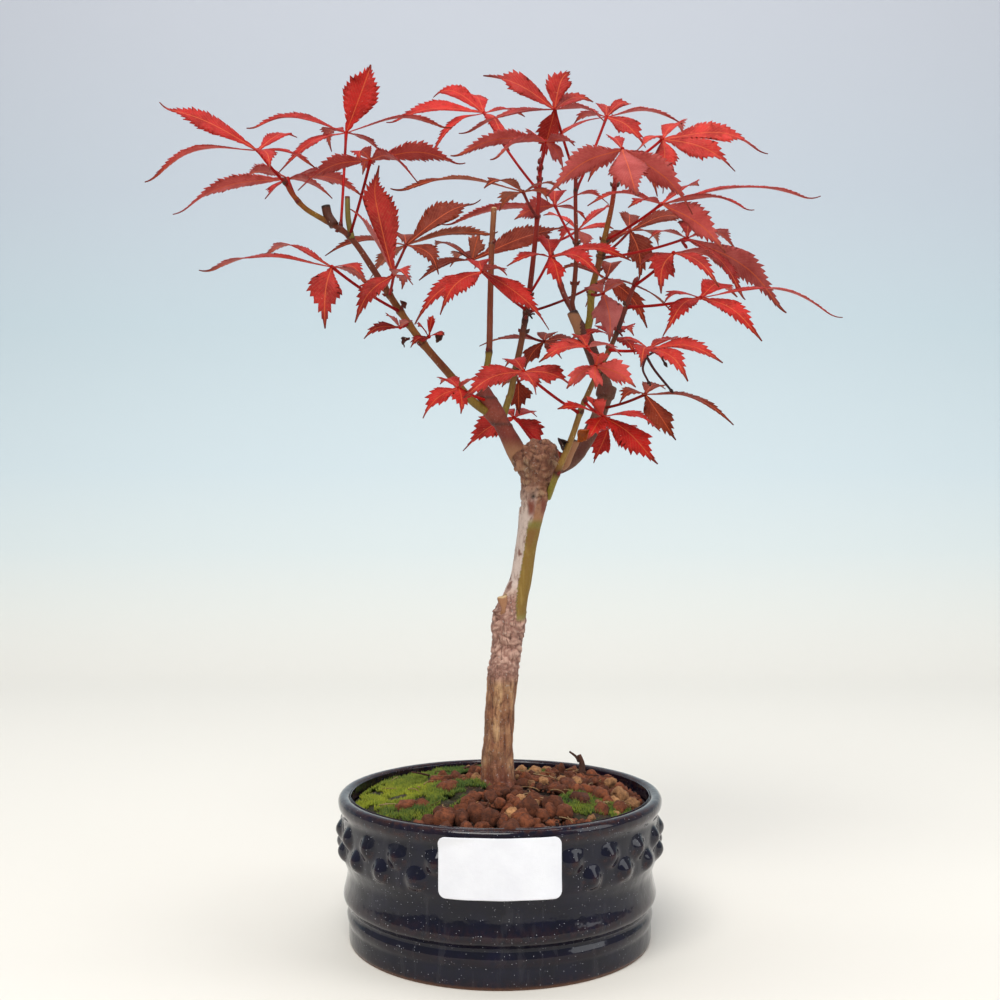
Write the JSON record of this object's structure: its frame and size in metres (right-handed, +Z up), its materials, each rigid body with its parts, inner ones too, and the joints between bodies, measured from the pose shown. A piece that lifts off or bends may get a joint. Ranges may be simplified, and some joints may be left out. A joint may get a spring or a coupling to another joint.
{
  "type": "maple bonsai in a round pot",
  "caption": "Small red-leaved maple bonsai with a leaning forked trunk, growing in moss and grit in a round glazed pot with raised studs.",
  "frame": {"origin": "centre of the pot's base, in the plane that its foot ring stands on", "axes": "+Z up along the pot's axis; -Y towards the front, where the label is; +X to the right seen from the front"},
  "size_m": [0.2722, 0.1603, 0.3653],
  "materials": {
    "navy_glaze": "glossy dark navy glaze",
    "mesh_plastic": "matte black",
    "label_paper": "smooth white",
    "soil": "dark crumbly soil",
    "moss": "soft yellow-green moss",
    "akadama": "red-brown baked clay grains",
    "bark": "fissured grey-brown bark",
    "shoot_bark": "smooth olive and red-brown bark",
    "leaf_red": "satin bright red leaf",
    "leaf_brown": "satin brownish red leaf"
  },
  "bodies": {
    "root": {"drain_mesh": "mesh_plastic", "gravel_back": "akadama", "gravel_front": "akadama", "gravel_right": "akadama", "label": "label_paper", "leaf_01": "leaf_red", "leaf_02": "leaf_red", "leaf_03": "leaf_red", "leaf_04": "leaf_red", "leaf_05": "leaf_red", "leaf_06": "leaf_brown", "leaf_07": "leaf_red", "leaf_08": "leaf_red", "leaf_09": "leaf_red", "leaf_10": "leaf_red", "leaf_11": "leaf_brown", "leaf_12": "leaf_red", "leaf_13": "leaf_red", "leaf_14": "leaf_red", "leaf_15": "leaf_red", "leaf_16": "leaf_red", "leaf_17": "leaf_red", "leaf_18": "leaf_red", "leaf_19": "leaf_brown", "leaf_20": "leaf_red", "leaf_21": "leaf_brown", "leaf_22": "leaf_red", "leaf_23": "leaf_brown", "leaf_24": "leaf_red", "leaf_25": "leaf_red", "leaf_26": "leaf_red", "leaf_27": "leaf_red", "leaf_28": "leaf_red", "leaf_29": "leaf_red", "leaf_30": "leaf_red", "leaf_31": "leaf_red", "leaf_32": "leaf_red", "leaf_33": "leaf_brown", "leaf_34": "leaf_red", "leaf_35": "leaf_red", "leaf_36": "leaf_red", "leaf_37": "leaf_brown", "leaf_38": "leaf_brown", "leaf_39": "leaf_red", "leaf_40": "leaf_red", "moss_back": "moss", "moss_front": "moss", "moss_left": "moss", "moss_trunk": "moss", "pot": "navy_glaze", "shoot_centre": "shoot_bark", "shoot_front": "shoot_bark", "shoot_left": "shoot_bark", "shoot_pruned": "shoot_bark", "shoot_right_back": "shoot_bark", "shoot_right_mid": "shoot_bark", "shoot_right_up": "shoot_bark", "soil": "soil", "trunk": "bark"}
  },
  "joints": []
}
